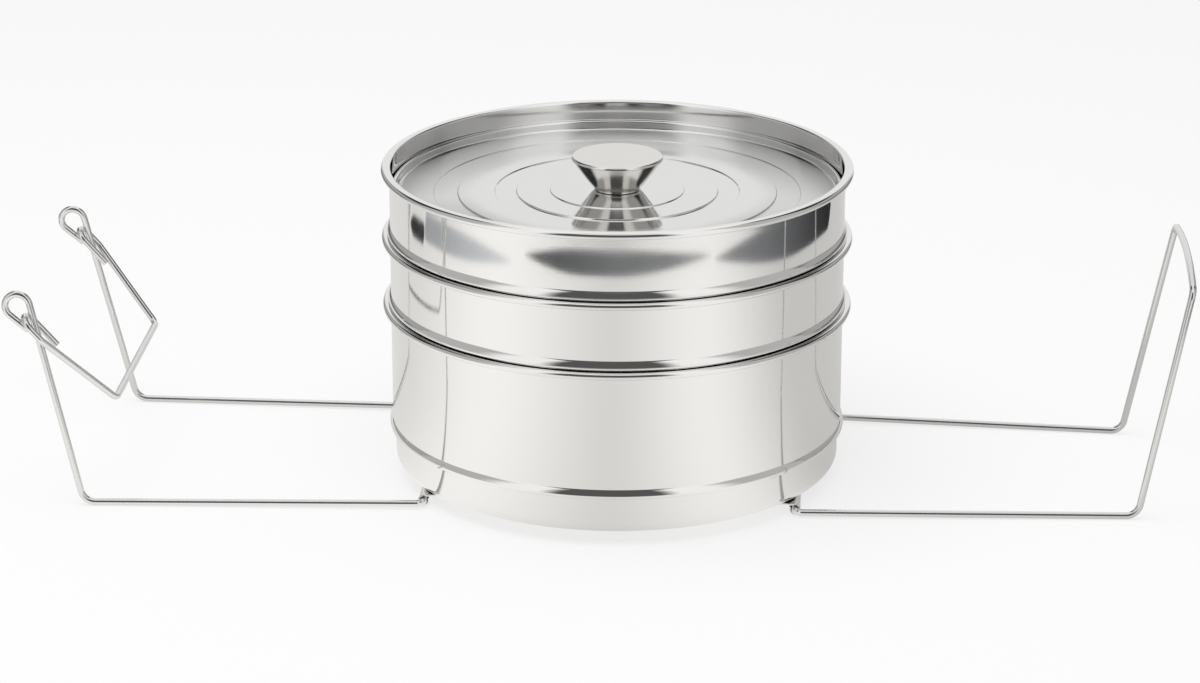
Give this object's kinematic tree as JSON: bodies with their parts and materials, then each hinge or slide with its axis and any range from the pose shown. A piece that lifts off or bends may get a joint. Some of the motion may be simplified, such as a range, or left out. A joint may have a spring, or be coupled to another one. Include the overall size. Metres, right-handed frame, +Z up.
{
  "type": "steamer pot",
  "caption": "Stacking steamer of nested polished steel pans with a sunken, knobbed lid, standing in a folding wire sling whose left handle carries a swinging lock bail.",
  "frame": {"origin": "middle of the sling plate's flat underside, below the pans' axis", "axes": "+Z up along the pans' axis, +X towards the handle with the closed grip, -X towards the handle with the eyes and the bail, +Y to the back"},
  "size_m": [0.4875, 0.1968, 0.1374],
  "materials": {
    "pan_steel": "mirror-polished stainless steel",
    "lid_steel": "polished stainless steel",
    "wire_steel": "polished stainless wire",
    "knob_steel": "satin turned",
    "screw_steel": "plain"
  },
  "bodies": {
    "sling_base": {"sling_base": "pan_steel"},
    "left_handle": {"left_handle": "wire_steel"},
    "right_handle": {"right_handle": "wire_steel"},
    "lock_bail": {"lock_bail": "wire_steel"},
    "bottom_pan": {"bottom_pan": "pan_steel"},
    "middle_pan": {"middle_pan": "pan_steel"},
    "top_pan": {"top_pan": "pan_steel"},
    "lid": {"lid": "lid_steel", "lid_knob": "knob_steel", "knob_washer": "screw_steel", "knob_screw": "screw_steel"}
  },
  "joints": [
    {"name": "left_handle_fold", "type": "hinge", "parent": "sling_base", "child": "left_handle", "pos_m": [-0.077, 0, -0.0019], "axis": [0, 1, 0], "range_deg": [0, 87]},
    {"name": "right_handle_fold", "type": "hinge", "parent": "sling_base", "child": "right_handle", "pos_m": [0.077, 0, -0.0019], "axis": [0, -1, 0], "range_deg": [0, 83]},
    {"name": "bail_swing", "type": "hinge", "parent": "left_handle", "child": "lock_bail", "pos_m": [-0.23975, 0, 0.07646], "axis": [0, -1, 0], "range_deg": [0, 300]},
    {"name": "bottom_pan_lift", "type": "slide", "parent": "sling_base", "child": "bottom_pan", "axis": [0, 0, 1], "range_m": [0, 0.19]},
    {"name": "middle_pan_lift", "type": "slide", "parent": "bottom_pan", "child": "middle_pan", "axis": [0, 0, 1], "range_m": [0, 0.06]},
    {"name": "top_pan_lift", "type": "slide", "parent": "middle_pan", "child": "top_pan", "axis": [0, 0, 1], "range_m": [0, 0.06]},
    {"name": "lid_lift", "type": "slide", "parent": "top_pan", "child": "lid", "axis": [0, 0, 1], "range_m": [0, 0.06]}
  ]
}
